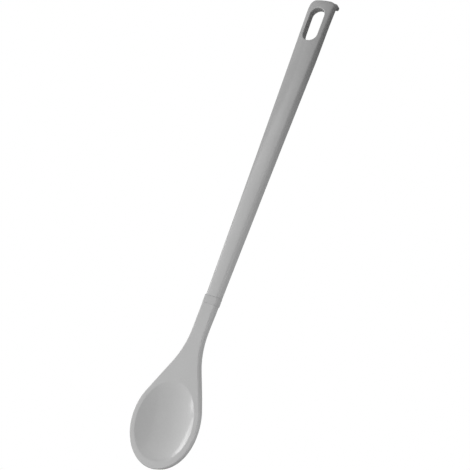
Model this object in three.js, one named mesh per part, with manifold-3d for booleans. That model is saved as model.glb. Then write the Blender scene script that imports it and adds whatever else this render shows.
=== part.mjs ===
// A moulded cooking spoon: a shallow dished head on a crowned, tapered handle, joined by a collar.
// Millimetres. The spoon lies on its back on the plane Z = 0, dish upwards. X runs across it, and Y
// along it from the tip of the bowl to the end of the handle. The origin is on the table, under the
// middle of its length.

import * as THREE from 'three';
import { mergeVertices } from 'three/addons/utils/BufferGeometryUtils.js';
import Module from 'manifold-3d';

// Handle
const HANDLE_LENGTH = 195.6;
const HANDLE_END_WIDTH = 17.4;
const HANDLE_NECK_WIDTH = 8.9;
const HANDLE_WAIST = 0.4; // how far each side draws in from a straight taper, half way along
const HANDLE_THICKNESS = 6.45;
const HANDLE_END_THICKNESS = 5.2; // the back rises towards the lip
const HANDLE_END_RISE_LENGTH = 34;
const HANDLE_LANDING_LENGTH = 6; // level stretch of the back beside the lip, where a pan rim sits
const HANDLE_NECK_THICKNESS = 6.1; // at the collar
const HANDLE_NECK_RISE_LENGTH = 50;
const HANDLE_CROWN_RADIUS = 24; // full crown across the front
const HANDLE_END_CREST = 0.8; // top of the crown above the rim's level, at the end of the handle
const HANDLE_NECK_CREST = 0.12; // and at the collar
const HANDLE_FRONT_ROUND = 1.7;
const HANDLE_BACK_ROUND = 0.4;
const HANDLE_END_DROOP = 2.1; // how far the front bends down towards the lip, at the very end
const HANDLE_DROOP_LENGTH = 9.6;
const HANDLE_END_ROUND = 1.2; // front face rolling over into the end face
const HANDLE_FRONT_CORNER = 4; // corners of the end seen from the front
const HANDLE_BACK_CORNER = 1; // and at the back, where the lip is square

// Hanging slot through the handle
const SLOT_WIDTH = 9.7;
const SLOT_LENGTH = 22.2;
const SLOT_MARGIN = 6.4; // from the end of the handle
const SLOT_FRONT_ROUND = 0.5; // its edges at the front
const SLOT_BACK_ROUND = 1; // and softer ones at the back

// Lip on the back of the handle's end, which hooks over a pan rim and reaches down as low as the bowl
const LIP_THICKNESS = 2.5;
const LIP_SETBACK = 0.15; // from the end face
const LIP_SIDE_INSET = 0.3;
const LIP_CORNER_ROUND = 0.9;
const LIP_TIP_ROUND = 0.5;
const LIP_ROOT = 0.2; // how far it runs up into the handle

// Collar
const COLLAR_LENGTH = 4.8;
const COLLAR_PROUD = 0.2; // beyond the neck's sides and front and the handle's back
const COLLAR_CHAMFER = 0.25;
const COLLAR_CROWN_RADIUS = 40; // between the handle's crown and the flat neck

// Neck and outline of the head
const NECK_WIDTH = 9.3;
const NECK_THICKNESS = 5.6;
const NECK_LENGTH = 16.6; // straight stretch beyond the collar
const NECK_ROUND = 1.2;
const NECK_SWEEP_RADIUS = 52; // hollow curve from the neck into the flank
const FLANK_ANGLE = 25; // degrees from the long axis
const SHOULDER_RADIUS = 33; // full curve from the flank to the widest place
const BOWL_WIDTH = 44.1;
const BOWL_TIP_LENGTH = 26.2; // widest place to the tip, half an ellipse

// Rim, side wall and dish of the bowl
const RIM_WIDTH = 3.1;
const RIM_TIP_WIDTH = 3.9;
const RIM_ROUND = 0.8;
const RIM_HEIGHT = 3.5; // side wall of the bowl at its widest
const TIP_HEIGHT = 4; // side wall at the tip
const WEB_HEIGHT = 5; // side wall between the neck and the bowl
const WALL_DRAFT = 0.1;
const BACK_ROUND = 0.6; // lower edge of the side wall
const DISH_LENGTH = 46.9;
const DISH_DEPTH = 4.4;
const DISH_LIP_ROUND = 0.7; // half-width of the rounded edge between dish and rim
const DISH_FLATNESS = 2; // power of the dish's hollow, 2 being a parabola
const FLOOR_THICKNESS = 4.6;
const BELLY_FLAT_LENGTH = 10; // flat spot that the bowl rests on
const BELLY_FLAT_WIDTH = 8.4;

// Tang of the head, through the collar into the handle
const TANG_LENGTH = 37;
const TANG_WIDTH = 5;
const TANG_THICKNESS = 3.4;
const TANG_TIP_WIDTH = 4.2;
const TANG_TIP_THICKNESS = 2.8;
const TANG_ROUND = 0.7;
const FIT_CLEARANCE = 0.15; // round the tang
const SEAM_GAP = 0.1; // each side of the collar
const SOCKET_END_CLEARANCE = 0.6;

// Finish: one grey moulded plastic, a shade darker on the collar
const HANDLE_COLOR = 0xa6a6a6;
const HEAD_COLOR = 0xaeaeae;
const COLLAR_COLOR = 0xa0a0a0;
const ROUGHNESS = 0.35;

// Facets
const CORNER_STEPS = 3;
const TOP_STEPS = 6;
const SLOT_END_STEPS = 10;
const ROLL_STEPS = 8;
const DROOP_STEPS = 4;
const RISE_STATION_GAP = 6;
const HANDLE_STATION_GAP = 16;
const FLAT_RADIUS = 1e5; // a crown radius as good as flat

// Levels and stations worked out from the sizes. A station is a distance from the end of the handle.
const flankAngle = THREE.MathUtils.degToRad(FLANK_ANGLE);
const neckHalf = NECK_WIDTH / 2;
const bowlHalf = BOWL_WIDTH / 2;
const flankEndX = bowlHalf - SHOULDER_RADIUS * (1 - Math.cos(flankAngle));
const sweepEndX = neckHalf + NECK_SWEEP_RADIUS * (1 - Math.cos(flankAngle));
const collarStation = HANDLE_LENGTH + SEAM_GAP;
const neckStation = collarStation + COLLAR_LENGTH + SEAM_GAP;
const sweepStation = neckStation + NECK_LENGTH;
const flankStation = sweepStation + NECK_SWEEP_RADIUS * Math.sin(flankAngle);
const shoulderStation = flankStation + (flankEndX - sweepEndX) / Math.tan(flankAngle);
const widestStation = shoulderStation + SHOULDER_RADIUS * Math.sin(flankAngle);
const tipStation = widestStation + BOWL_TIP_LENGTH;
const dishStation = tipStation - RIM_TIP_WIDTH - DISH_LENGTH;
const frontLevel = DISH_DEPTH + FLOOR_THICKNESS;
const lipRootLevel = frontLevel - HANDLE_END_THICKNESS;
const landingStation = LIP_SETBACK + LIP_THICKNESS + HANDLE_LANDING_LENGTH;
const riseStation = landingStation + HANDLE_END_RISE_LENGTH;
const neckBackLevel = frontLevel - NECK_THICKNESS;
const collarBackLevel = frontLevel - Math.max(HANDLE_NECK_THICKNESS, NECK_THICKNESS);

const wasm = await Module();
wasm.setup();

/** Y of a station. */
function along(station) {
  return tipStation / 2 - station;
}

/** Eases from 0 to 1 as t goes from 0 to 1, and stays there beyond. */
function ease(t) {
  return THREE.MathUtils.smoothstep(t, 0, 1);
}

/** How far a rounded edge of the given radius has fallen at a distance from where it starts to end. */
function roundFall(distance, radius) {
  const inside = THREE.MathUtils.clamp(radius - distance, 0, radius);
  return radius - Math.sqrt(radius * radius - inside * inside);
}

/** A closed body through rings of equally many points, each end closed by a fan from one point. Each
 * four-sided face is split along its shorter diagonal. */
function ringBody(rings, firstPole, lastPole) {
  const count = rings[0].length;
  const points = [firstPole, ...rings.flat(), lastPole];
  const last = points.length - 1;
  const indices = [];
  for (let k = 0; k < count; k += 1) {
    const next = (k + 1) % count;
    indices.push(0, 1 + next, 1 + k);
    for (let r = 0; r < rings.length - 1; r += 1) {
      const low = 1 + r * count;
      const high = low + count;
      const [a, b, c, d] = [low + k, low + next, high + next, high + k];
      if (points[a].distanceTo(points[c]) < points[b].distanceTo(points[d])) {
        indices.push(a, b, c, a, c, d);
      } else {
        indices.push(a, b, d, b, c, d);
      }
    }
    const end = 1 + (rings.length - 1) * count;
    indices.push(last, end + k, end + next);
  }
  const geometry = new THREE.BufferGeometry();
  geometry.setFromPoints(points);
  geometry.setIndex(indices);
  return geometry;
}

/** The middle of a ring of points. */
function middle(ring) {
  const sum = ring.reduce((total, p) => total.add(p), new THREE.Vector3());
  return sum.divideScalar(ring.length);
}

/** A closed body lofted through rings, with flat ends. */
function loft(rings) {
  return ringBody(rings, middle(rings[0]), middle(rings[rings.length - 1]));
}

/** A solid for joining and cutting. Faces that point inwards are turned round first. */
function solid(geometry) {
  const merged = mergeVertices(geometry, 1e-5);
  const vertProperties = merged.attributes.position.array;
  const triVerts = Uint32Array.from(merged.index.array);
  const a = new THREE.Vector3();
  const b = new THREE.Vector3();
  const c = new THREE.Vector3();
  let volume = 0;
  for (let i = 0; i < triVerts.length; i += 3) {
    a.fromArray(vertProperties, triVerts[i] * 3);
    b.fromArray(vertProperties, triVerts[i + 1] * 3);
    c.fromArray(vertProperties, triVerts[i + 2] * 3);
    volume += a.dot(b.cross(c));
  }
  if (volume < 0) {
    triVerts.reverse();
  }
  return new wasm.Manifold(new wasm.Mesh({ numProp: 3, vertProperties, triVerts }));
}

/** A named mesh of a solid. */
function piece(name, body, color) {
  const mesh = body.getMesh();
  const geometry = new THREE.BufferGeometry();
  geometry.setAttribute('position', new THREE.Float32BufferAttribute(mesh.vertProperties, 3));
  geometry.setIndex(Array.from(mesh.triVerts));
  geometry.computeVertexNormals();
  const material = new THREE.MeshStandardMaterial({ color, roughness: ROUGHNESS, metalness: 0 });
  const part = new THREE.Mesh(geometry, material);
  part.name = name;
  return part;
}

/** Points of a rounded corner about a centre, from one angle on, in a section's plane: [across, up]. */
function cornerPoints(x, z, radius, fromAngle, sweep = Math.PI / 2) {
  const points = [];
  for (let i = 0; i <= CORNER_STEPS; i += 1) {
    const angle = fromAngle - (i / CORNER_STEPS) * sweep;
    points.push([x + radius * Math.cos(angle), z + radius * Math.sin(angle)]);
  }
  return points;
}

/** How a crowned front runs into its rounded corners without a break: the crown's slope where they
 * meet, and the level of the corners' centres. */
function crownMeeting(half, front, frontRound, crownRadius) {
  const core = crownRadius - frontRound;
  const lean = Math.asin((half - frontRound) / core);
  return { lean, shoulder: front - crownRadius + core * Math.cos(lean) };
}

/** A rounded section across the spoon at a station, its front flat or crowned. */
function sectionRing(station, half, front, back, frontRound, backRound, crownRadius = FLAT_RADIUS) {
  const { lean, shoulder } = crownMeeting(half, front, frontRound, crownRadius);
  const sweep = Math.PI / 2 - lean;
  const outline = [];
  for (let i = 1; i < TOP_STEPS; i += 1) {
    const angle = lean * ((2 * i) / TOP_STEPS - 1);
    outline.push([crownRadius * Math.sin(angle), front - crownRadius * (1 - Math.cos(angle))]);
  }
  outline.push(...cornerPoints(half - frontRound, shoulder, frontRound, sweep, sweep));
  outline.push(...cornerPoints(half - backRound, back + backRound, backRound, 0));
  outline.push(...cornerPoints(backRound - half, back + backRound, backRound, -Math.PI / 2));
  outline.push(...cornerPoints(frontRound - half, shoulder, frontRound, Math.PI, sweep));
  return outline.map(([x, z]) => new THREE.Vector3(x, along(station), z));
}

/** Evenly spread values after the first, up to and with the last. */
function spread(first, last, count) {
  return Array.from({ length: count }, (_, i) => THREE.MathUtils.lerp(first, last, (i + 1) / count));
}

/** Half the handle's width at a station. */
function handleHalf(station) {
  const share = station / HANDLE_LENGTH;
  const taper = THREE.MathUtils.lerp(HANDLE_END_WIDTH, HANDLE_NECK_WIDTH, share) / 2;
  return taper - HANDLE_WAIST * 4 * share * (1 - share);
}

/** Level of the handle's back at a station. */
function handleBack(station) {
  const endShare = ease((riseStation - station) / HANDLE_END_RISE_LENGTH);
  const neckShare = ease(1 - (HANDLE_LENGTH - station) / HANDLE_NECK_RISE_LENGTH);
  const endRise = (HANDLE_THICKNESS - HANDLE_END_THICKNESS) * endShare;
  const neckRise = (HANDLE_THICKNESS - HANDLE_NECK_THICKNESS) * neckShare;
  return frontLevel - HANDLE_THICKNESS + endRise + neckRise;
}

/** Level of the top of the handle's crown at a station. */
function handleCrest(station) {
  const crest = THREE.MathUtils.lerp(HANDLE_END_CREST, HANDLE_NECK_CREST, station / HANDLE_LENGTH);
  const droop = HANDLE_END_DROOP * Math.max(1 - station / HANDLE_DROOP_LENGTH, 0) ** 2;
  return frontLevel + crest - droop;
}

/** How far the crown of the handle's front has fallen at a distance from its middle line. */
function crownFall(x) {
  return HANDLE_CROWN_RADIUS - Math.sqrt(HANDLE_CROWN_RADIUS ** 2 - x ** 2);
}

/** One section of the handle. At its end the front rolls over. The corners there are rounder at the
 * front, and the sides run down from them to the squarer corners of the back. */
function handleRing(station) {
  const half = handleHalf(station);
  const frontHalf = half - roundFall(station, HANDLE_FRONT_CORNER);
  const front = handleCrest(station) - roundFall(station, HANDLE_END_ROUND);
  const back = handleBack(station);
  const frontRound = Math.min(HANDLE_FRONT_ROUND, frontHalf / 2);
  const crown = HANDLE_CROWN_RADIUS;
  const { shoulder } = crownMeeting(frontHalf, front, frontRound, crown);
  const ring = sectionRing(station, frontHalf, front, back, frontRound, HANDLE_BACK_ROUND, crown);
  for (const point of ring) {
    const height = Math.min((point.z - back) / (shoulder - back), 1);
    const corner = THREE.MathUtils.lerp(HANDLE_BACK_CORNER, HANDLE_FRONT_CORNER, height);
    point.x *= (half - roundFall(station, corner)) / frontHalf;
  }
  return ring;
}

/** Stations over a rounded end, closer together towards the end. */
function roundStations(radius) {
  return spread(0, Math.PI / 2, ROLL_STEPS).map((angle) => radius * (1 - Math.cos(angle)));
}

/** Stations of the handle's sections: close together over its rounded end, evenly spread along the rest. */
function handleStations() {
  const corner = Math.max(HANDLE_END_ROUND, HANDLE_FRONT_CORNER);
  const riseSteps = Math.ceil(HANDLE_END_RISE_LENGTH / RISE_STATION_GAP);
  const steps = Math.ceil((HANDLE_LENGTH - riseStation) / HANDLE_STATION_GAP);
  const stations = [
    0,
    ...roundStations(corner),
    ...spread(corner, landingStation, DROOP_STEPS),
    ...spread(landingStation, riseStation, riseSteps),
    ...spread(riseStation, HANDLE_LENGTH, steps),
  ];
  return stations.sort((a, b) => a - b);
}

/** The slot's outline, lengthwise with two round ends, grown by an amount, each point at its level. */
function slotRing(grow, level) {
  const radius = SLOT_WIDTH / 2 + grow;
  const firstCentre = SLOT_MARGIN + SLOT_WIDTH / 2;
  const lastCentre = SLOT_MARGIN + SLOT_LENGTH - SLOT_WIDTH / 2;
  const ring = [];
  for (const [centre, from] of [[firstCentre, 0], [lastCentre, Math.PI]]) {
    for (const angle of [from, ...spread(from, from + Math.PI, SLOT_END_STEPS)]) {
      const x = radius * Math.cos(angle);
      const station = centre - radius * Math.sin(angle);
      ring.push(new THREE.Vector3(x, along(station), level(x, station)));
    }
  }
  return ring;
}

/** How a hollow of the given edge radius flares, from its wall out to the face. */
function flareSteps(radius) {
  const angles = [0, ...spread(0, Math.PI / 2, CORNER_STEPS)];
  return angles.map((angle) => ({
    grow: radius * (1 - Math.cos(angle)),
    depth: radius * (1 - Math.sin(angle)),
  }));
}

/** What the hanging slot takes out of the handle, flared at both faces so that its edges are rounded. */
function slotCutter() {
  const backSteps = flareSteps(SLOT_BACK_ROUND).reverse();
  const frontSteps = flareSteps(SLOT_FRONT_ROUND);
  const onBack = (offset) => (x, station) => handleBack(station) + offset;
  const onFront = (offset) => (x, station) => handleCrest(station) - crownFall(x) + offset;
  return loft([
    slotRing(SLOT_BACK_ROUND, onBack(-HANDLE_THICKNESS)),
    ...backSteps.map(({ grow, depth }) => slotRing(grow, onBack(depth))),
    ...frontSteps.map(({ grow, depth }) => slotRing(grow, onFront(-depth))),
    slotRing(SLOT_FRONT_ROUND, onFront(HANDLE_THICKNESS)),
  ]);
}

/** A level rectangle with rounded corners, over a stretch of the handle, drawn in by the given amount. */
function lipRing(level, inset) {
  const half = HANDLE_END_WIDTH / 2 - LIP_SIDE_INSET - inset;
  const near = along(LIP_SETBACK + inset);
  const far = along(LIP_SETBACK + LIP_THICKNESS - inset);
  const round = LIP_CORNER_ROUND;
  const corners = [
    ...cornerPoints(half - round, near - round, round, Math.PI / 2),
    ...cornerPoints(half - round, far + round, round, 0),
    ...cornerPoints(round - half, far + round, round, -Math.PI / 2),
    ...cornerPoints(round - half, near - round, round, Math.PI),
  ];
  return corners.map(([x, y]) => new THREE.Vector3(x, y, level));
}

/** The lip that hooks over a pan rim: a rounded plate from the table level up into the handle's end. */
function lipBody() {
  const tip = [1, 0.5, 0].map((share) => lipRing(
    LIP_TIP_ROUND * (1 - Math.sqrt(1 - (1 - share) * (1 - share))),
    LIP_TIP_ROUND * (1 - Math.sqrt(1 - share * share)),
  ));
  return loft([...tip, lipRing(lipRootLevel + LIP_ROOT, 0)]);
}

/** The tang's outline at a share of its length from the neck, grown by a clearance. */
function tangRing(share, clearance) {
  const half = THREE.MathUtils.lerp(TANG_WIDTH, TANG_TIP_WIDTH, share) / 2 + clearance;
  const thick = THREE.MathUtils.lerp(TANG_THICKNESS, TANG_TIP_THICKNESS, share) / 2 + clearance;
  const centre = frontLevel - NECK_THICKNESS / 2;
  const station = neckStation - share * TANG_LENGTH;
  return sectionRing(station, half, centre + thick, centre - thick, TANG_ROUND, TANG_ROUND);
}

/** The tang itself, rooted a little way inside the neck. */
function tangBody() {
  const rootShare = -NECK_ROUND / TANG_LENGTH;
  return loft([tangRing(rootShare, 0), tangRing(0, 0), tangRing(1, 0)]);
}

/** What the tang needs free in the handle and the collar: its taper with a clearance, past both ends. */
function tangSpace() {
  const endShare = 1 + SOCKET_END_CLEARANCE / TANG_LENGTH;
  const pastShare = -NECK_ROUND / TANG_LENGTH;
  return loft([tangRing(pastShare, FIT_CLEARANCE), tangRing(endShare, FIT_CLEARANCE)]);
}

/** The collar's outline at a station, drawn in at its chamfers. */
function collarRing(station, inset) {
  const grow = COLLAR_PROUD - inset;
  const half = neckHalf + grow;
  const round = NECK_ROUND + grow;
  const front = frontLevel + grow;
  const back = collarBackLevel - grow;
  return sectionRing(station, half, front, back, round, round, COLLAR_CROWN_RADIUS);
}

/** The collar before the tang's hole is cut. */
function collarBody() {
  const end = collarStation + COLLAR_LENGTH;
  return loft([
    collarRing(collarStation, COLLAR_CHAMFER),
    collarRing(collarStation + COLLAR_CHAMFER, 0),
    collarRing(end - COLLAR_CHAMFER, 0),
    collarRing(end, COLLAR_CHAMFER),
  ]);
}

/** Height of the head's side wall at a station: deep at the neck, shallower over the web, least at the
 * bowl's widest place and a little deeper again at its tip. */
function wallHeight(station) {
  const neckShare = ease(1 - (station - neckStation) / NECK_LENGTH);
  const webShare = ease((widestStation - station) / (widestStation - dishStation));
  const tipShare = ease((station - widestStation) / BOWL_TIP_LENGTH);
  return RIM_HEIGHT + (TIP_HEIGHT - RIM_HEIGHT) * tipShare + (WEB_HEIGHT - RIM_HEIGHT) * webShare
    + (NECK_THICKNESS - WEB_HEIGHT) * neckShare;
}

/** Radius of the head's edges at a station: soft at the neck, crisper round the bowl. */
function edgeRound(station) {
  const share = ease((station - neckStation) / (flankStation - neckStation));
  return THREE.MathUtils.lerp(NECK_ROUND, RIM_ROUND, share);
}

/** The right half of the head's outline, from the neck's end to just short of the tip. */
function outlineCurves() {
  const sweepCentre = new THREE.Vector2(neckHalf + NECK_SWEEP_RADIUS, along(sweepStation));
  const shoulderCentreX = bowlHalf - SHOULDER_RADIUS;
  const widestY = along(widestStation);
  const point = (x, station) => new THREE.Vector2(x, along(station));
  const neck = new THREE.LineCurve(point(neckHalf, neckStation), point(neckHalf, sweepStation));
  const sweep = new THREE.EllipseCurve(sweepCentre.x, sweepCentre.y, NECK_SWEEP_RADIUS,
    NECK_SWEEP_RADIUS, Math.PI, Math.PI + flankAngle);
  const flank = new THREE.LineCurve(point(sweepEndX, flankStation), point(flankEndX, shoulderStation));
  const shoulder = new THREE.EllipseCurve(shoulderCentreX, widestY, SHOULDER_RADIUS, SHOULDER_RADIUS,
    flankAngle, 0, true);
  const tip = new THREE.EllipseCurve(0, widestY, bowlHalf, BOWL_TIP_LENGTH, 0, -Math.PI / 2, true);
  return [[neck, 3], [sweep, 5], [flank, 3], [shoulder, 6], [tip, 18]];
}

/** Points of the head's outline, once round from the neck's end, each with its way inwards. */
function outlinePoints() {
  const right = [];
  for (const [curve, steps] of outlineCurves()) {
    for (let i = 0; i < steps; i += 1) {
      const tangent = curve.getTangent(i / steps);
      right.push({ at: curve.getPoint(i / steps), inwards: new THREE.Vector2(tangent.y, -tangent.x) });
    }
  }
  right[0].inwards.set(-1, 0);
  const none = new THREE.Vector2(0, 0);
  const endX = (neckHalf - NECK_ROUND) / 2;
  const endMiddle = { at: new THREE.Vector2(0, along(neckStation)), inwards: none };
  const endRight = { at: new THREE.Vector2(endX, along(neckStation)), inwards: none };
  const tip = { at: new THREE.Vector2(0, along(tipStation)), inwards: new THREE.Vector2(0, 1) };
  const mirror = ({ at, inwards }) => ({
    at: new THREE.Vector2(-at.x, at.y),
    inwards: new THREE.Vector2(-inwards.x, inwards.y),
  });
  const half = [endRight, ...right];
  return [endMiddle, ...half, tip, ...half.map(mirror).reverse()];
}

/** Level of the head's back at a place: a keel along the middle that sinks into a dome under the bowl. */
function backLevel(x, y) {
  const station = tipStation / 2 - y;
  const inner = Math.max(outlineHalf(station) - WALL_DRAFT - BACK_ROUND, 1e-3);
  const edge = frontLevel - wallHeight(station);
  const flatShare = BELLY_FLAT_LENGTH / 2 / BOWL_TIP_LENGTH;
  const sunk = edge / (1 - flatShare * flatShare) - edge;
  const tipShare = (station - widestStation) / (BOWL_TIP_LENGTH - WALL_DRAFT - BACK_ROUND);
  const neckRun = widestStation - BELLY_FLAT_LENGTH / 2 - station;
  const neckShare = ease(neckRun / (widestStation - sweepStation));
  const tipKeel = (edge + sunk) * Math.min(tipShare * tipShare, 1) - sunk;
  const keel = station > widestStation ? tipKeel : THREE.MathUtils.lerp(-sunk, neckBackLevel, neckShare);
  const across = Math.min(Math.abs(x) / inner, 1);
  return Math.max(keel + (edge - keel) * across * across, 0);
}

/** Half the head's width at a station. */
function outlineHalf(station) {
  if (station <= sweepStation) {
    return neckHalf;
  }
  if (station <= flankStation) {
    const run = station - sweepStation;
    return neckHalf + NECK_SWEEP_RADIUS - Math.sqrt(NECK_SWEEP_RADIUS ** 2 - run ** 2);
  }
  if (station <= shoulderStation) {
    return sweepEndX + (station - flankStation) * Math.tan(flankAngle);
  }
  if (station <= widestStation) {
    const run = widestStation - station;
    return bowlHalf - SHOULDER_RADIUS + Math.sqrt(SHOULDER_RADIUS ** 2 - run ** 2);
  }
  const share = Math.min((station - widestStation) / BOWL_TIP_LENGTH, 1);
  return bowlHalf * Math.sqrt(1 - share * share);
}

/** A ring of the dish: an egg whose two halves meet at the widest place, at a share of its full size. */
function dishRing(count, share, level) {
  const halfWidth = bowlHalf - RIM_WIDTH;
  const tipLength = BOWL_TIP_LENGTH - RIM_TIP_WIDTH;
  const neckLength = widestStation - dishStation;
  const ring = [];
  for (let k = 0; k < count; k += 1) {
    const angle = (k / count) * 2 * Math.PI;
    const reach = Math.cos(angle) > 0 ? neckLength : tipLength;
    const x = share * halfWidth * Math.sin(angle);
    const y = along(widestStation) + share * reach * Math.cos(angle);
    ring.push(new THREE.Vector3(x, y, level));
  }
  return ring;
}

/** Rings of the dish, from near its middle out to the rim, which it meets in a rounded edge. */
function dishRings(count) {
  const lipShare = DISH_LIP_ROUND / (bowlHalf - RIM_WIDTH);
  const hollow = (share) => frontLevel - DISH_DEPTH * (1 - share ** DISH_FLATNESS);
  const shares = [0.2, 0.4, 0.6, 0.8, 1 - lipShare];
  const rings = shares.map((share) => dishRing(count, share, hollow(share)));
  const lipFall = (frontLevel - hollow(1 - lipShare)) / 4;
  rings.push(dishRing(count, 1, frontLevel - lipFall));
  rings.push(dishRing(count, 1 + lipShare, frontLevel));
  return rings;
}

/** A ring on the flat of the rim and the web, each point in line with the dish's middle and the edge's. */
function rimRing(edgeRing) {
  const centre = new THREE.Vector3(0, along(widestStation), frontLevel);
  return edgeRing.map((edge) => {
    const way = edge.clone().sub(centre);
    const reach = way.length();
    way.normalize();
    const length = way.y > 0 ? widestStation - dishStation : BOWL_TIP_LENGTH - RIM_TIP_WIDTH;
    const dishReach = 1 / Math.hypot(way.x / (bowlHalf - RIM_WIDTH), way.y / length);
    const step = Math.min((reach - dishReach) / 2, DISH_LENGTH / 5);
    return centre.clone().addScaledVector(way, dishReach + step);
  });
}

/** Rings of the side wall, from the rim's outer edge down to the back, both edges rounded. */
function wallRings(outline) {
  const halfRound = 1 - Math.SQRT1_2;
  const steps = [
    { inset: 1, fall: 0 }, { inset: halfRound, fall: halfRound }, { inset: 0, fall: 1 },
  ];
  const upper = steps.map(({ inset, fall }) => outline.map(({ at, inwards }) => {
    const round = edgeRound(tipStation / 2 - at.y);
    const place = at.clone().addScaledVector(inwards, inset * round);
    return new THREE.Vector3(place.x, place.y, frontLevel - fall * round);
  }));
  const lower = [...steps].reverse().map(({ inset, fall }) => outline.map(({ at, inwards }) => {
    const place = at.clone().addScaledVector(inwards, WALL_DRAFT + inset * BACK_ROUND);
    const inner = at.clone().addScaledVector(inwards, WALL_DRAFT + BACK_ROUND);
    return new THREE.Vector3(place.x, place.y, backLevel(inner.x, inner.y) + fall * BACK_ROUND);
  }));
  return [...upper, ...lower];
}

/** Rings of the back, from the wall's lower edge in to the flat spot under the bowl. */
function backRings(edgeRing) {
  const shares = [0.84, 0.68, 0.52, 0.36, 0.18, 0];
  const count = edgeRing.length;
  const spot = edgeRing.map((_, k) => {
    const angle = (k / count) * 2 * Math.PI;
    const x = (BELLY_FLAT_WIDTH / 2) * Math.sin(angle);
    return new THREE.Vector2(x, along(widestStation) + (BELLY_FLAT_LENGTH / 2) * Math.cos(angle));
  });
  return shares.map((share) => edgeRing.map((edge, k) => {
    const x = THREE.MathUtils.lerp(spot[k].x, edge.x, share);
    const y = THREE.MathUtils.lerp(spot[k].y, edge.y, share);
    return new THREE.Vector3(x, y, share > 0 ? backLevel(x, y) : 0);
  }));
}

/** The head without its tang: rings from the dish's middle over the rim and down to the flat spot below. */
function headBody() {
  const outline = outlinePoints();
  const dish = dishRings(outline.length);
  const wall = wallRings(outline);
  const back = backRings(wall[wall.length - 1]);
  const centre = along(widestStation);
  const dishMiddle = new THREE.Vector3(0, centre, frontLevel - DISH_DEPTH);
  const spotMiddle = new THREE.Vector3(0, centre, 0);
  return ringBody([...dish, rimRing(wall[0]), ...wall, ...back], dishMiddle, spotMiddle);
}

const space = solid(tangSpace());
const handle = solid(loft(handleStations().map(handleRing)))
  .add(solid(lipBody()))
  .subtract(solid(slotCutter()))
  .subtract(space);
const collar = solid(collarBody()).subtract(space);
const head = solid(headBody()).add(solid(tangBody()));

const spoon = new THREE.Group();
spoon.add(
  piece('handle', handle, HANDLE_COLOR),
  piece('joint_collar', collar, COLLAR_COLOR),
  piece('spoon_head', head, HEAD_COLOR),
);

export default spoon;
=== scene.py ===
"""Looks of a moulded cooking spoon: its three pieces, their melamine finish and a white studio.

It is laid out as a Blender add-on and run as a script. Lengths are in metres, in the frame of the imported
part: the spoon lies on its back on Z = 0, X runs across it and Y along it, with the end of the handle at
high Y. A station is a distance from the end of the handle.
"""

import math

import bmesh
import bpy
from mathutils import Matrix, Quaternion, Vector


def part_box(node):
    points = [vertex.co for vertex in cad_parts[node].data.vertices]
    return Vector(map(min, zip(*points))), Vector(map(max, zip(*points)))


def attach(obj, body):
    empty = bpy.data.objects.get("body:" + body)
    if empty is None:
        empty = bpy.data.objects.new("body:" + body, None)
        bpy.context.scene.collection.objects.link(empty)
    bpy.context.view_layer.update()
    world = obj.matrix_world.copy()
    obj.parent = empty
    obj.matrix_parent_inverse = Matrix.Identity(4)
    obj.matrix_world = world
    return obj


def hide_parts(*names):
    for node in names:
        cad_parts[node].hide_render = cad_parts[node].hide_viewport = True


bl_info = {
    "name": "Cooking spoon",
    "version": (1, 0, 0),
    "blender": (4, 5, 0),
    "location": "3D View > Sidebar > Spoon",
    "description": "Builds a moulded cooking spoon in three pieces, with its finish and a white studio",
    "category": "Add Mesh",
}

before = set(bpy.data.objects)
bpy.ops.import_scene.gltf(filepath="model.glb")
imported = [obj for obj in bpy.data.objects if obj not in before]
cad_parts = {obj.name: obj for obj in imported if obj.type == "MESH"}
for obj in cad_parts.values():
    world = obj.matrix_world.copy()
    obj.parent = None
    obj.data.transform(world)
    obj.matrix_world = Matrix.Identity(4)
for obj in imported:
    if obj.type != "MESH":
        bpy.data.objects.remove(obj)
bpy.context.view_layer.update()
MM = 0.001

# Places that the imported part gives
handle_low, handle_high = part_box("handle")
collar_low, collar_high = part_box("joint_collar")
head_low, head_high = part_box("spoon_head")
END_Y = handle_high.y
FRONT = head_high.z
HANDLE_LENGTH = END_Y - handle_low.y
COLLAR_START = END_Y - collar_high.y
COLLAR_END = END_Y - collar_low.y
NECK = COLLAR_END + COLLAR_START - HANDLE_LENGTH
TANG_TIP = END_Y - head_high.y
TIP = END_Y - head_low.y
BOWL_HALF = head_high.x

# Fineness of the meshes
TOP_STEPS = 14
CORNER_STEPS = 8
SIDE_STEPS = 8
BACK_STEPS = 8
END_STEPS = 36
DROOP_STEPS = 14
RISE_STEPS = 24
LENGTH_STEPS = 60
SLOT_END_STEPS = 28
SLOT_SIDE_STEPS = 12
NECK_END_STEPS = 6
NECK_STEPS = 12
SWEEP_STEPS = 20
FLANK_STEPS = 14
SHOULDER_STEPS = 20
TIP_STEPS = 60
DISH_STEPS = 26
LIP_STEPS = 10
RIM_STEPS = 8
WALL_STEPS = 6
BELLY_STEPS = 26
SPOT_STEPS = 3

SAME_PLACE = 0.001 * MM
QUARTER = math.pi / 2
NEARLY_FLAT = 1000.0  # metres, the crown radius of a flat front
MEETING_ANGLE = math.radians(75)  # of a rounded edge that stops just short of running into a face
SHARP_ANGLE = math.radians(35)  # edges sharper than this keep a crease in the shading
NOISE_LOW = 0.3  # most values of a noise pattern lie between this
NOISE_HIGH = 0.7  # and this


def length(name, description, millimetres):
    """A length property, given in millimetres and kept in metres."""
    return bpy.props.FloatProperty(
        name=name, description=description, default=millimetres * MM, precision=5, unit="LENGTH"
    )


def share(name, description, default):
    """A property between 0 and 1."""
    return bpy.props.FloatProperty(
        name=name, description=description, default=default, min=0.0, max=1.0, subtype="FACTOR"
    )


def power(name, description, watts):
    """A power property of a light."""
    return bpy.props.FloatProperty(name=name, description=description, default=watts, min=0.0, unit="POWER")


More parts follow.
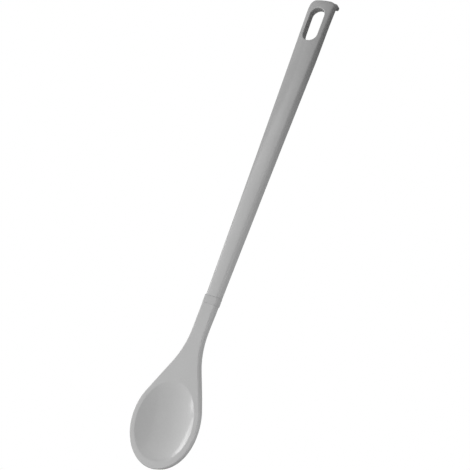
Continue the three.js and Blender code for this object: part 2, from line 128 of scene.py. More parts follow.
def linear(hex_colour):
    """Linear red, green and blue of an sRGB hex colour."""
    channels = [int(hex_colour[i:i + 2], 16) / 255 for i in (1, 3, 5)]
    return [c / 12.92 if c <= 0.04045 else ((c + 0.055) / 1.055) ** 2.4 for c in channels]


def colour(name, description, hex_colour):
    """A colour property, given as an sRGB hex value."""
    return bpy.props.FloatVectorProperty(
        name=name, description=description, default=linear(hex_colour), size=3, min=0.0, max=1.0,
        subtype="COLOR",
    )


class HandleSizes(bpy.types.PropertyGroup):
    """Sizes of the handle, its hanging slot and its lip."""

    end_width: length("End width", "Width of the taper at the end of the handle", 17.4)
    neck_width: length("Neck width", "Width of the taper at the collar", 8.9)
    waist: length("Waist", "How far each side draws in from a straight taper, half way along", 0.4)
    thickness: length("Thickness", "Front to back over most of the length", 6.45)
    end_thickness: length("End thickness", "Front to back beside the lip", 5.2)
    end_rise: length("End rise", "Length over which the back rises towards the lip", 34)
    landing: length("Landing", "Level stretch of the back beside the lip", 6)
    neck_thickness: length("Neck thickness", "Front to back at the collar", 6.1)
    neck_rise: length("Neck rise", "Length over which the back rises towards the collar", 50)
    end_crown: length("End crown", "Radius of the crown across the front, at the end", 22)
    neck_crown: length("Neck crown", "Radius of the crown across the front, at the collar", 17)
    end_crest: length("End crest", "Top of the crown above the rim's level, at the end", 0.8)
    neck_crest: length("Neck crest", "Top of the crown above the rim's level, at the collar", 0.12)
    front_round: length("Front round", "Radius of the long edges of the front", 1.7)
    back_round: length("Back round", "Radius of the long edges of the back", 0.4)
    end_droop: length("End droop", "How far the front bends down towards the lip, at the very end", 2.1)
    droop_length: length("Droop length", "Length over which the front bends down", 9.6)
    end_round: length("End round", "Radius of the front rolling over into the end", 1.2)
    front_corner: length("Front corner", "Corner radius of the end, seen from the front", 4)
    back_corner: length("Back corner", "Corner radius of the end at the back", 1)
    slot_width: length("Slot width", "Width of the hanging slot", 9.7)
    slot_length: length("Slot length", "Length of the hanging slot", 22.2)
    slot_margin: length("Slot margin", "From the end of the handle to the slot", 6.4)
    slot_front: length("Slot front", "Radius of the slot's edges at the front", 0.5)
    slot_back: length("Slot back", "Radius of the slot's edges at the back", 1)
    lip_thickness: length("Lip thickness", "Thickness of the lip that hooks over a pan rim", 2.5)
    lip_setback: length("Lip setback", "From the end face to the lip", 0.15)
    lip_inset: length("Lip inset", "From the handle's side to the lip's", 0.3)
    lip_corner: length("Lip corner", "Radius of the lip's corners", 0.9)
    lip_tip: length("Lip tip", "Radius of the lip's lower edges", 0.5)
    lip_fillet: length("Lip fillet", "Hollow round between the lip and the back", 0.5)
    lip_root: length("Lip root", "How far the lip runs up into the handle", 0.2)


class JointSizes(bpy.types.PropertyGroup):
    """Sizes of the collar and of the tang that joins head and handle inside it."""

    collar_proud: length("Collar proud", "How far it stands beyond the neck and the handle's back", 0.2)
    collar_edge: length("Collar edge", "Radius of the collar's two edges", 0.2)
    seam_cover: length("Seam cover", "How far each end of the collar reaches into its seam", 0.07)
    collar_crown: length("Collar crown", "Crown radius, between the handle's and the flat neck", 40)
    tang_width: length("Tang width", "Width of the tang at the neck", 5)
    tang_thickness: length("Tang thickness", "Thickness of the tang at the neck", 3.4)
    tang_tip_width: length("Tang tip width", "Width of the tang at its tip", 4.2)
    tang_tip_thickness: length("Tang tip thickness", "Thickness of the tang at its tip", 2.8)
    tang_round: length("Tang round", "Radius of the tang's edges", 0.7)
    clearance: length("Clearance", "Gap round the tang", 0.15)
    socket_end: length("Socket end", "Gap beyond the tang's tip", 0.6)


class HeadSizes(bpy.types.PropertyGroup):
    """Sizes of the head: neck, outline, wall, dish and back."""

    neck_width: length("Neck width", "Width of the straight neck", 9.3)
    neck_thickness: length("Neck thickness", "Front to back at the collar", 5.6)
    neck_length: length("Neck length", "Straight stretch beyond the collar", 16.6)
    neck_round: length("Neck round", "Radius of the front edges at the neck", 1.2)
    sweep_radius: length("Sweep radius", "Hollow curve from the neck into the flank", 52)
    flank_angle: bpy.props.FloatProperty(
        name="Flank angle", description="From the long axis", default=math.radians(25), subtype="ANGLE"
    )
    shoulder_radius: length("Shoulder radius", "Full curve from the flank to the widest place", 33)
    rim_width: length("Rim width", "Flat rim at the widest place", 3.1)
    rim_tip_width: length("Rim tip width", "Flat rim at the tip", 3.9)
    rim_round: length("Rim round", "Radius of the rim's outer edge", 0.8)
    rim_height: length("Rim height", "Side wall at the widest place", 3.5)
    tip_height: length("Tip height", "Side wall at the tip", 4)
    web_height: length("Web height", "Side wall between neck and bowl", 5)
    wall_draft: length("Wall draft", "How far the wall draws in towards the back", 0.1)
    back_round: length("Back round", "Radius of the wall's lower edge", 0.6)
    dish_length: length("Dish length", "Length of the dish", 46.9)
    dish_depth: length("Dish depth", "Depth of the dish below the rim", 4.4)
    dish_lip: length("Dish lip", "Half-width of the rounded edge between dish and rim", 0.4)
    dish_power: bpy.props.FloatProperty(
        name="Dish power", description="Power of the dish's hollow, 2 being a parabola", default=2.0
    )
    belly_length: length("Belly length", "Flat spot that the bowl rests on, lengthwise", 10)
    belly_width: length("Belly width", "Flat spot that the bowl rests on, across", 8.4)


class FinishSettings(bpy.types.PropertyGroup):
    """Colours and surface of the moulded melamine."""

    handle_grey: colour("Handle grey", "Colour of the handle", "#a6a6a6")
    collar_grey: colour("Collar grey", "Colour of the collar", "#a2a2a2")
    head_grey: colour("Head grey", "Colour of the head", "#a6a6a6")
    ior: bpy.props.FloatProperty(name="IOR", description="Index of refraction of melamine", default=1.6)
    roughness: share("Roughness", "Mean roughness of the moulded skin", 0.13)
    roughness_spread: share("Roughness spread", "How much the roughness wanders", 0.05)
    cloud_size: length("Cloud size", "Width of the faint clouds in the colour", 16)
    cloud_depth: share("Cloud depth", "How much darker the clouds are", 0.03)
    filler_size: length("Filler size", "Width of the specks of filler", 0.9)
    filler_depth: share("Filler depth", "How much darker the specks are", 0.04)
    peel_size: length("Peel size", "Width of the ripples in the moulded skin", 1.4)
    peel_height: length("Peel height", "Height of the ripples in the moulded skin", 0.004)


class StudioSettings(bpy.types.PropertyGroup):
    """Camera, light and black card of the white studio."""

    camera_place: bpy.props.FloatVectorProperty(
        name="Camera place", description="Where the camera stands", size=3, subtype="TRANSLATION",
        default=(255.79 * MM, -80.15 * MM, 443.42 * MM), precision=5,
    )
    camera_turn: bpy.props.FloatVectorProperty(
        name="Camera turn", description="How the camera is turned", size=3, subtype="EULER",
        default=(math.radians(18.990), math.radians(25.514), math.radians(22.722)), precision=5,
    )
    camera_lens: bpy.props.FloatProperty(
        name="Camera lens", description="Focal length in millimetres", default=66.016, unit="CAMERA"
    )
    floor_size: length("Floor size", "Side of the square floor", 6000)
    floor_white: share("Floor white", "How much of the light the floor sends back", 0.42)
    ambient: share("Ambient", "Light that comes from all round", 0.44)
    scrim_power: power("Scrim", "Power of the large scrim on the left, before it fades upwards", 16.0)
    left_power: power("Left softbox", "Power of the softbox at the foot of the scrim", 1.7)
    strip_power: power("Low strip", "Power of the low strip that the dish's edge mirrors", 0.98)
    strip_end_power: power("Strip end", "Power of the short strip that carries on the low one", 0.28)
    rear_power: power("Rear softbox", "Power of the softbox behind the end of the handle", 0.36)
    fill_power: power("Side fill", "Power of the fill on the right, between bowl and neck", 0.23)
    fill_place: length("Fill place", "Place along Y that the fill lights", -70)
    card_gap: length("Card gap", "From the middle of the handle out to the black card", 75)
    card_setback: length("Card setback", "From the end of the handle back to the card's middle", 5)
    card_length: length("Card length", "Length of the card, along the handle", 150)
    card_height: length("Card height", "Height of the card, from the floor up", 66)
    card_black: share("Card black", "How much of the light the card sends back", 0.02)


class SpoonSettings(bpy.types.PropertyGroup):
    """All settings of the spoon."""

    handle: bpy.props.PointerProperty(name="Handle", description="Sizes of the handle", type=HandleSizes)
    joint: bpy.props.PointerProperty(name="Joint", description="Sizes of collar and tang", type=JointSizes)
    head: bpy.props.PointerProperty(name="Head", description="Sizes of the head", type=HeadSizes)
    finish: bpy.props.PointerProperty(name="Finish", description="Colours and surface", type=FinishSettings)
    studio: bpy.props.PointerProperty(name="Studio", description="Camera and light", type=StudioSettings)


def lerp(first, last, t):
    """The value a share of the way from first to last."""
    return first + (last - first) * t


def ease(t):
    """Eases from 0 to 1 as t goes from 0 to 1, and stays there beyond."""
    t = min(max(t, 0.0), 1.0)
    return t * t * (3 - 2 * t)


def spread(first, last, steps):
    """Evenly spread values from first to last, both included."""
    return [lerp(first, last, i / steps) for i in range(steps + 1)]


def round_fall(distance, radius):
    """How far a rounded edge has fallen at a distance from where it ends."""
    inside = min(max(radius - distance, 0.0), radius)
    return radius - math.sqrt(radius * radius - inside * inside)


def quarter_round(radius):
    """A rounded edge as (drawn in, fallen) pairs, from the face over to the wall."""
    angles = spread(0.0, QUARTER, CORNER_STEPS)
    return [(radius * (1 - math.sin(a)), radius * (1 - math.cos(a))) for a in angles]


def flare(radius):
    """A hollow's rounded edge as (grown, depth) pairs, from its wall out to just proud of the face. It meets
    the face at a slight angle, so that joining and cutting stay clean."""
    angles = spread(0.0, MEETING_ANGLE, CORNER_STEPS)
    pairs = [(radius * (1 - math.cos(a)), radius * (1 - math.sin(a))) for a in angles]
    proud = radius / 10
    grown, depth = pairs[-1]
    pairs.append((grown + (depth + proud) * math.tan(MEETING_ANGLE), -proud))
    return pairs


def crown_meeting(half, front, front_round, crown_radius):
    """How a crowned front runs into its rounded corners without a break: the crown's slope where they meet,
    and the level of the corners' centres."""
    core = crown_radius - front_round
    lean = math.asin((half - front_round) / core)
    return lean, front - crown_radius + core * math.cos(lean)


def rounded_section(half, front, back, front_round, back_round, crown_radius=NEARLY_FLAT):
    """A section across the spoon as (across, up) points, once round from the middle of its front."""
    lean, corner_up = crown_meeting(half, front, front_round, crown_radius)
    right = []
    for angle in spread(0.0, lean, TOP_STEPS)[:-1]:
        right.append((crown_radius * math.sin(angle), front - crown_radius * (1 - math.cos(angle))))
    for angle in spread(lean, QUARTER, CORNER_STEPS)[:-1]:
        across = half - front_round + front_round * math.sin(angle)
        right.append((across, corner_up + front_round * math.cos(angle)))
    for up in spread(corner_up, back + back_round, SIDE_STEPS)[:-1]:
        right.append((half, up))
    for drawn_in, fallen in reversed(quarter_round(back_round)):
        right.append((half - drawn_in, back + fallen))
    for across in spread(half - back_round, 0.0, BACK_STEPS)[1:]:
        right.append((across, back))
    left = [(-across, up) for across, up in reversed(right[1:-1])]
    return right + left


def at_station(section, station):
    """The points of a section, put at a station."""
    return [Vector((across, END_Y - station, up)) for across, up in section]


def middle(ring):
    """The middle of a ring of points."""
    return sum(ring, Vector()) / len(ring)


def skin(name, rings, caps=()):
    """A closed mesh object through rings of equally many points. Its two ends are closed by fans to the
    caps. With no caps the last ring runs on into the first."""
    count = len(rings[0])
    points = [point for ring in rings for point in ring]
    faces = []
    for r in range(len(rings) - 1 if caps else len(rings)):
        low = r * count
        high = (r + 1) % len(rings) * count
        for k in range(count):
            step = (k + 1) % count
            faces.append((low + k, low + step, high + step, high + k))
    for cap, first in zip(caps, (0, (len(rings) - 1) * count)):
        points.append(cap)
        for k in range(count):
            faces.append((first + k, first + (k + 1) % count, len(points) - 1))
    shape = bmesh.new()
    corners = [shape.verts.new(point) for point in points]
    for face in faces:
        shape.faces.new([corners[i] for i in face])
    bmesh.ops.recalc_face_normals(shape, faces=shape.faces)
    mesh = bpy.data.meshes.new(name)
    shape.to_mesh(mesh)
    shape.free()
    piece = bpy.data.objects.new(name, mesh)
    bpy.context.scene.collection.objects.link(piece)
    return piece


def carve(piece, operation, tool):
    """Joins a tool to a piece or cuts it out of it, and uses the tool up. Points that this leaves almost in
    one place become one."""
    boolean = piece.modifiers.new("Carve", "BOOLEAN")
    boolean.operation = operation
    boolean.solver = "EXACT"
    boolean.object = tool
    bpy.context.view_layer.update()
    graph = bpy.context.evaluated_depsgraph_get()
    carved = bpy.data.meshes.new_from_object(piece.evaluated_get(graph))
    shape = bmesh.new()
    shape.from_mesh(carved)
    bmesh.ops.remove_doubles(shape, verts=shape.verts, dist=SAME_PLACE)
    shape.to_mesh(carved)
    shape.free()
    whole = piece.data
    piece.modifiers.clear()
    piece.data = carved
    bpy.data.meshes.remove(whole)
    bpy.data.meshes.remove(tool.data)
    carved.name = piece.name


def dress(piece, node, material):
    """Checks that a piece is closed, shades it, gives it its material and ties it to the frame."""
    shape = bmesh.new()
    shape.from_mesh(piece.data)
    open_edges = sum(not edge.is_manifold for edge in shape.edges)
    shape.free()
    if open_edges:
        raise RuntimeError(f"{piece.name} has {open_edges} open edges")
    piece.data.materials.clear()
    piece.data.materials.append(material)
    piece.data.shade_smooth()
    piece.data.set_sharp_from_angle(angle=SHARP_ANGLE)
    normals = piece.modifiers.new("Face weighted normals", "WEIGHTED_NORMAL")
    normals.keep_sharp = True
    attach(piece, "root")
    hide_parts(node)


class HandleForm:
    """The handle's width, back and sections, and what its slot takes out, from its sizes."""

    def __init__(self, sizes):
        self.sizes = sizes
        self.landing = sizes.lip_setback + sizes.lip_thickness + sizes.landing
        self.rise = self.landing + sizes.end_rise

    def half(self, station):
        """Half the width at a station."""
        along = station / HANDLE_LENGTH
        taper = lerp(self.sizes.end_width, self.sizes.neck_width, along) / 2
        return taper - self.sizes.waist * 4 * along * (1 - along)

    def back(self, station):
        """Level of the back at a station."""
        sizes = self.sizes
        end_share = ease((self.rise - station) / sizes.end_rise)
        neck_share = ease(1 - (HANDLE_LENGTH - station) / sizes.neck_rise)
        end_rise = (sizes.thickness - sizes.end_thickness) * end_share
        neck_rise = (sizes.thickness - sizes.neck_thickness) * neck_share
        return FRONT - sizes.thickness + end_rise + neck_rise

    def crest(self, station):
        """Level of the top of the crown at a station."""
        sizes = self.sizes
        droop = sizes.end_droop * max(1 - station / sizes.droop_length, 0.0) ** 2
        return FRONT + lerp(sizes.end_crest, sizes.neck_crest, station / HANDLE_LENGTH) - droop

    def crown(self, station):
        """Radius of the crown across the front at a station."""
        return lerp(self.sizes.end_crown, self.sizes.neck_crown, station / HANDLE_LENGTH)

    def ring(self, station):
        """One section. At the end the front rolls over. The corners there are rounder at the front, and the
        sides run down from them to the squarer corners of the back."""
        sizes = self.sizes
        half = self.half(station)
        front_half = half - round_fall(station, sizes.front_corner)
        front = self.crest(station) - round_fall(station, sizes.end_round)
        back = self.back(station)
        front_round = min(sizes.front_round, front_half / 2)
        crown = self.crown(station)
        shoulder = crown_meeting(front_half, front, front_round, crown)[1]
        section = rounded_section(front_half, front, back, front_round, sizes.back_round, crown)
        ring = at_station(section, station)
        for point in ring:
            height = min((point.z - back) / (shoulder - back), 1.0)
            corner = lerp(sizes.back_corner, sizes.front_corner, height)
            point.x *= (half - round_fall(station, corner)) / front_half
        return ring

    def rings(self):
        """Sections from the end to the collar, close together where the end is rounded."""
        corner = self.sizes.front_corner
        stations = [corner * (1 - math.cos(angle)) for angle in spread(0.0, QUARTER, END_STEPS)]
        stations += spread(corner, self.landing, DROOP_STEPS)[1:]
        stations += spread(self.landing, self.rise, RISE_STEPS)[1:]
        stations += spread(self.rise, HANDLE_LENGTH, LENGTH_STEPS)[1:]
        return [self.ring(station) for station in stations]

    def slot_ring(self, grown, level):
        """The slot's outline with its two round ends, grown, each point at the level of its place."""
        sizes = self.sizes
        radius = sizes.slot_width / 2 + grown
        first = sizes.slot_margin + sizes.slot_width / 2
        last = sizes.slot_margin + sizes.slot_length - sizes.slot_width / 2
        outline = []
        for near, far, turn in ((first, last, 0.0), (last, first, math.pi)):
            for angle in spread(turn, turn + math.pi, SLOT_END_STEPS)[:-1]:
                outline.append((radius * math.cos(angle), near - radius * math.sin(angle)))
            for station in spread(near, far, SLOT_SIDE_STEPS)[:-1]:
                outline.append((-radius * math.cos(turn), station))
        return [Vector((x, END_Y - station, level(x, station))) for x, station in outline]

    def slot_rings(self):
        """What the hanging slot takes out, flared at both faces so that its edges are rounded."""
        sizes = self.sizes
        front_edge = flare(sizes.slot_front)
        back_edge = flare(sizes.slot_back)
        clear = sizes.thickness

        def face(x, station):
            radius = self.crown(station)
            return self.crest(station) - radius + math.sqrt(radius**2 - x * x)

        rings = [self.slot_ring(back_edge[-1][0], lambda x, station: self.back(station) - clear)]
        for grown, depth in reversed(back_edge):
            rings.append(self.slot_ring(grown, lambda x, station: self.back(station) + depth))
        for grown, depth in front_edge:
            rings.append(self.slot_ring(grown, lambda x, station: face(x, station) - depth))
        rings.append(self.slot_ring(front_edge[-1][0], lambda x, station: face(x, station) + clear))
        return rings

    def lip_ring(self, level, drawn_in, grown):
        """A level rectangle with rounded corners under the handle's end, drawn in all round and grown on its
        inner side."""
        sizes = self.sizes
        half = sizes.end_width / 2 - sizes.lip_inset - drawn_in
        near = END_Y - sizes.lip_setback - drawn_in
        far = END_Y - sizes.lip_setback - sizes.lip_thickness + drawn_in - grown
        radius = sizes.lip_corner - drawn_in
        inner = half - radius
        ring = []
        for x, y, turn in (
            (inner, near - radius, 0.0),
            (-inner, near - radius, QUARTER),
            (-inner, far + radius, 2 * QUARTER),
            (inner, far + radius, 3 * QUARTER),
        ):
            for angle in spread(turn, turn + QUARTER, CORNER_STEPS):
                ring.append(Vector((x + radius * math.cos(angle), y + radius * math.sin(angle), level)))
        return ring

    def lip_rings(self):
        """The lip, from its rounded lower edge up into the handle, with a hollow round at its inner root."""
        sizes = self.sizes
        root = FRONT - sizes.end_thickness
        rings = [self.lip_ring(fallen, drawn_in, 0.0) for drawn_in, fallen in quarter_round(sizes.lip_tip)]
        fillet = flare(sizes.lip_fillet)
        rings += [self.lip_ring(root - depth, 0.0, grown) for grown, depth in fillet]
        rings.append(self.lip_ring(root + sizes.lip_root, 0.0, fillet[-1][0]))
        return rings


def tang_ring(joint, head, station, clearance):
    """The tang's outline at a station, grown by a clearance."""
    along = (NECK - station) / (NECK - TANG_TIP)
    half = lerp(joint.tang_width, joint.tang_tip_width, along) / 2 + clearance
    thick = lerp(joint.tang_thickness, joint.tang_tip_thickness, along) / 2 + clearance
    centre = FRONT - head.neck_thickness / 2
    section = rounded_section(half, centre + thick, centre - thick, joint.tang_round, joint.tang_round)
    return at_station(section, station)


def tang_skin(joint, head, name, first, last, clearance):
    """The tang between two stations, or the room that it needs."""
    ends = [tang_ring(joint, head, station, clearance) for station in (first, last)]
    return skin(name, ends, [middle(ring) for ring in ends])


def collar_rings(joint, head, handle):
    """The collar's outside from end to end, its edges rounded, and back along the hole for the tang."""
    back = FRONT - max(handle.neck_thickness, head.neck_thickness)
    first = COLLAR_START - joint.seam_cover
    last = COLLAR_END + joint.seam_cover
    edge = [(first + fallen, drawn_in) for drawn_in, fallen in quarter_round(joint.collar_edge)]
    far_edge = [(first + last - station, drawn_in) for station, drawn_in in reversed(edge)]
    rings = []
    for station, drawn_in in edge + far_edge:
        grown = joint.collar_proud - drawn_in
        half = head.neck_width / 2 + grown
        radius = head.neck_round + grown
        crown = joint.collar_crown
        section = rounded_section(half, FRONT + grown, back - grown, radius, radius, crown)
        rings.append(at_station(section, station))
    for station in (last, first):
        rings.append(tang_ring(joint, head, station, joint.clearance))
    return rings


class HeadForm:
    """The head's outline in plan, its wall, dish and back, from its sizes."""

    def __init__(self, sizes):
        angle = sizes.flank_angle
        self.sizes = sizes
        self.neck_half = sizes.neck_width / 2
        self.flank_x = self.neck_half + sizes.sweep_radius * (1 - math.cos(angle))
        self.shoulder_x = BOWL_HALF - sizes.shoulder_radius * (1 - math.cos(angle))
        self.sweep = NECK + sizes.neck_length
        self.flank = self.sweep + sizes.sweep_radius * math.sin(angle)
        self.shoulder = self.flank + (self.shoulder_x - self.flank_x) / math.tan(angle)
        self.widest = self.shoulder + sizes.shoulder_radius * math.sin(angle)
        self.tip_length = TIP - self.widest
        self.dish_half = BOWL_HALF - sizes.rim_width
        self.dish_tip = self.tip_length - sizes.rim_tip_width
        self.dish_neck = sizes.dish_length - self.dish_tip
        self.centre = Vector((0.0, END_Y - self.widest))

    def outline(self):
        """Points of the outline in plan, each with its way inwards, once round from the middle of the neck's
        end."""
        sizes = self.sizes
        angle = sizes.flank_angle
        right = []
        for x in spread(0.0, self.neck_half - sizes.neck_round, NECK_END_STEPS):
            right.append((x, NECK, Vector((0.0, 0.0))))
        for station in spread(NECK, self.sweep, NECK_STEPS)[:-1]:
            right.append((self.neck_half, station, Vector((-1.0, 0.0))))
        for turn in spread(0.0, angle, SWEEP_STEPS)[:-1]:
            x = self.neck_half + sizes.sweep_radius * (1 - math.cos(turn))
            station = self.sweep + sizes.sweep_radius * math.sin(turn)
            right.append((x, station, Vector((-math.cos(turn), -math.sin(turn)))))
        for t in spread(0.0, 1.0, FLANK_STEPS)[:-1]:
            x = lerp(self.flank_x, self.shoulder_x, t)
            station = lerp(self.flank, self.shoulder, t)
            right.append((x, station, Vector((-math.cos(angle), -math.sin(angle)))))
        for turn in spread(angle, 0.0, SHOULDER_STEPS)[:-1]:
            x = BOWL_HALF - sizes.shoulder_radius * (1 - math.cos(turn))
            station = self.widest - sizes.shoulder_radius * math.sin(turn)
            right.append((x, station, Vector((-math.cos(turn), -math.sin(turn)))))
        for turn in spread(0.0, QUARTER, TIP_STEPS):
            inwards = Vector((-math.cos(turn) / BOWL_HALF, math.sin(turn) / self.tip_length))
            station = self.widest + self.tip_length * math.sin(turn)
            right.append((BOWL_HALF * math.cos(turn), station, inwards.normalized()))
        left = [(-x, station, Vector((-way.x, way.y))) for x, station, way in reversed(right[1:-1])]
        return [(Vector((x, END_Y - station)), way) for x, station, way in right + left]

    def half(self, station):
        """Half the width at a station."""
        sizes = self.sizes
        if station <= self.sweep:
            return self.neck_half
        if station <= self.flank:
            run = station - self.sweep
            return self.neck_half + sizes.sweep_radius - math.sqrt(sizes.sweep_radius**2 - run**2)
        if station <= self.shoulder:
            return self.flank_x + (station - self.flank) * math.tan(sizes.flank_angle)
        if station <= self.widest:
            run = self.widest - station
            return BOWL_HALF - sizes.shoulder_radius + math.sqrt(sizes.shoulder_radius**2 - run**2)
        along = min((station - self.widest) / self.tip_length, 1.0)
        return BOWL_HALF * math.sqrt(1 - along * along)

    def edge_round(self, station):
        """Radius of the front edge at a station: soft at the neck, crisper round the bowl."""
        along = ease((station - NECK) / (self.flank - NECK))
        return lerp(self.sizes.neck_round, self.sizes.rim_round, along)

    def wall_height(self, station):
        """Height of the side wall at a station."""
        sizes = self.sizes
        neck_share = ease(1 - (station - NECK) / sizes.neck_length)
        web_share = ease((self.widest - station) / self.dish_neck)
        tip_share = ease((station - self.widest) / self.tip_length)
        height = sizes.rim_height + (sizes.tip_height - sizes.rim_height) * tip_share
        height += (sizes.web_height - sizes.rim_height) * web_share
        return height + (sizes.neck_thickness - sizes.web_height) * neck_share

    def back(self, place):
        """Level of the back at a place: a keel along the middle that sinks into a dome under the bowl."""
        sizes = self.sizes
        station = END_Y - place.y
        lower_edge = sizes.wall_draft + sizes.back_round
        inner = max(self.half(station) - lower_edge, SAME_PLACE)
        edge = FRONT - self.wall_height(station)
        flat_share = sizes.belly_length / 2 / self.tip_length
        sunk = edge / (1 - flat_share**2) - edge
        if station > self.widest:
            along = (station - self.widest) / (self.tip_length - lower_edge)
            keel = (edge + sunk) * min(along * along, 1.0) - sunk
        else:
            run = self.widest - sizes.belly_length / 2 - station
            keel = lerp(-sunk, FRONT - sizes.neck_thickness, ease(run / (self.widest - self.sweep)))
        across = min(abs(place.x) / inner, 1.0)
        return max(keel + (edge - keel) * across * across, 0.0)

    def hollow(self, size):
        """Level of the dish at a share of its full size, its edge rounded into the rim."""
        sizes = self.sizes
        lip = sizes.dish_lip / self.dish_half
        if size <= 1 - lip:
            return FRONT - sizes.dish_depth * (1 - size**sizes.dish_power)
        fall = sizes.dish_depth * (1 - (1 - lip) ** sizes.dish_power)
        return FRONT - fall * ((1 + lip - size) / (2 * lip)) ** 2

    def egg(self, ways, half, neck_reach, tip_reach):
        """Points of an egg round the dish's centre, in the given ways from it."""
        ring = []
        for way in ways:
            reach = neck_reach if way.y > 0 else tip_reach
            ring.append(self.centre + way / math.hypot(way.x / half, way.y / reach))
        return ring

    def front_rings(self, rim_edge, ways):
        """Rings from near the dish's middle, over its rounded edge and the flat rim to the rim's edge."""
        lip = self.sizes.dish_lip / self.dish_half
        dish = self.egg(ways, self.dish_half, self.dish_neck, self.dish_tip)
        rings = []
        for size in spread(0.0, 1 - lip, DISH_STEPS)[1:-1] + spread(1 - lip, 1 + lip, LIP_STEPS):
            level = self.hollow(size)
            rings.append([self.centre.lerp(place, size).to_3d() + Vector((0, 0, level)) for place in dish])
        dish_edge = rings[-1]
        for t in spread(0.0, 1.0, RIM_STEPS)[1:-1]:
            rings.append([inner.lerp(outer, t) for inner, outer in zip(dish_edge, rim_edge)])
        return rings

    def wall_rings(self, outline):
        """Rings of the side wall, from the rim's edge down to the back, both edges rounded."""
        sizes = self.sizes
        upper = []
        for drawn_in, fallen in quarter_round(1.0):
            ring = []
            for place, way in outline:
                radius = self.edge_round(END_Y - place.y)
                edge = place + way * radius * drawn_in
                ring.append(Vector((edge.x, edge.y, FRONT - radius * fallen)))
            upper.append(ring)
        lower = []
        for drawn_in, fallen in reversed(quarter_round(sizes.back_round)):
            ring = []
            for place, way in outline:
                edge = place + way * (sizes.wall_draft + drawn_in)
                inner = place + way * (sizes.wall_draft + sizes.back_round)
                ring.append(Vector((edge.x, edge.y, self.back(inner) + fallen)))
            lower.append(ring)
        between = []
        for t in spread(0.0, 1.0, WALL_STEPS)[1:-1]:
            between.append([high.lerp(low, t) for high, low in zip(upper[-1], lower[0])])
        return upper + between + lower

    def back_rings(self, wall_edge, ways):
        """Rings of the back, from the wall's lower edge in to the flat spot under the bowl."""
        sizes = self.sizes
        spot = self.egg(ways, sizes.belly_width / 2, sizes.belly_length / 2, sizes.belly_length / 2)
        rings = []
        for t in spread(0.0, 1.0, BELLY_STEPS)[1:]:
            places = [edge.to_2d().lerp(inner, t) for edge, inner in zip(wall_edge, spot)]
            rings.append([Vector((place.x, place.y, self.back(place))) for place in places])
        for t in spread(0.0, 1.0, SPOT_STEPS)[1:-1]:
            rings.append([place.lerp(self.centre, t).to_3d() for place in spot])
        return rings

    def skin(self, name):
        """The head without its tang: rings from the dish's middle over the rim and down to the flat spot."""
        outline = self.outline()
        wall = self.wall_rings(outline)
        ways = [(edge.to_2d() - self.centre).normalized() for edge in wall[0]]
        rings = self.front_rings(wall[0], ways) + wall + self.back_rings(wall[-1], ways)
        dish_middle = self.centre.to_3d() + Vector((0, 0, self.hollow(0.0)))
        return skin(name, rings, (dish_middle, self.centre.to_3d()))


def add_node(tree, kind, settings, inputs):
    """Adds a node with its settings. Each input is a value, or an output of another node to link."""
    node = tree.nodes.new(kind)
    for name, value in settings.items():
        setattr(node, name, value)
    for name, value in inputs.items():
        if isinstance(value, bpy.types.NodeSocket):
            tree.links.new(value, node.inputs[name])
        else:
            node.inputs[name].default_value = value
    return node


def empty_tree(owner):
    """The node tree of a material, a light or a world, with nothing in it."""
    owner.use_nodes = True
    owner.node_tree.nodes.clear()
    return owner.node_tree


def moulded_melamine(name, finish, grey):
    """Grey melamine, compression moulded in a polished tool. The eye sees an even, slightly cloudy grey with
    fine specks of filler just under a smooth skin, and soft-edged highlights that ripple a little."""
    material = bpy.data.materials.new(name)
    tree = empty_tree(material)
    place = add_node(tree, "ShaderNodeTexCoord", {}, {}).outputs["Object"]
    # Filler is a powder far too fine to show, so its specks are drawn about two pixels wide
    noise = {}
    for pattern, size, detail in (
        ("cloud", finish.cloud_size, 2.0),
        ("filler", finish.filler_size, 1.0),
        ("gloss", finish.cloud_size / 2, 2.0),
        ("peel", finish.peel_size, 1.0),
    ):
        inputs = {"Vector": place, "Scale": 1 / size, "Detail": detail}
        noise[pattern] = add_node(tree, "ShaderNodeTexNoise", {}, inputs).outputs["Fac"]
    level = {}
    for pattern, low, high in (
        ("cloud", 1.0, 1 - finish.cloud_depth),
        ("filler", 1.0, 1 - finish.filler_depth),
        ("gloss", finish.roughness - finish.roughness_spread, finish.roughness + finish.roughness_spread),
    ):
        inputs = {"From Min": NOISE_LOW, "From Max": NOISE_HIGH, "To Min": low, "To Max": high}
        inputs["Value"] = noise[pattern]
        level[pattern] = add_node(tree, "ShaderNodeMapRange", {}, inputs).outputs["Result"]
    shades = {0: level["cloud"], 1: level["filler"]}
    shade = add_node(tree, "ShaderNodeMath", {"operation": "MULTIPLY"}, shades).outputs["Value"]
    colour_mix = add_node(
        tree,
        "ShaderNodeMix",
        {"data_type": "RGBA", "blend_type": "MULTIPLY"},
        {"Factor": 1.0, "A": (*grey, 1.0), "B": shade},
    )
    peel = add_node(
        tree,
        "ShaderNodeBump",
        {},
        {"Strength": 1.0, "Distance": finish.peel_height, "Height": noise["peel"]},
    )
    shader = add_node(
        tree,
        "ShaderNodeBsdfPrincipled",
        {},
        {
            "Base Color": colour_mix.outputs["Result"],
            "Roughness": level["gloss"],
            "IOR": finish.ior,
            "Normal": peel.outputs["Normal"],
        },
    )
    add_node(tree, "ShaderNodeOutputMaterial", {}, {"Surface": shader.outputs["BSDF"]})
    return material


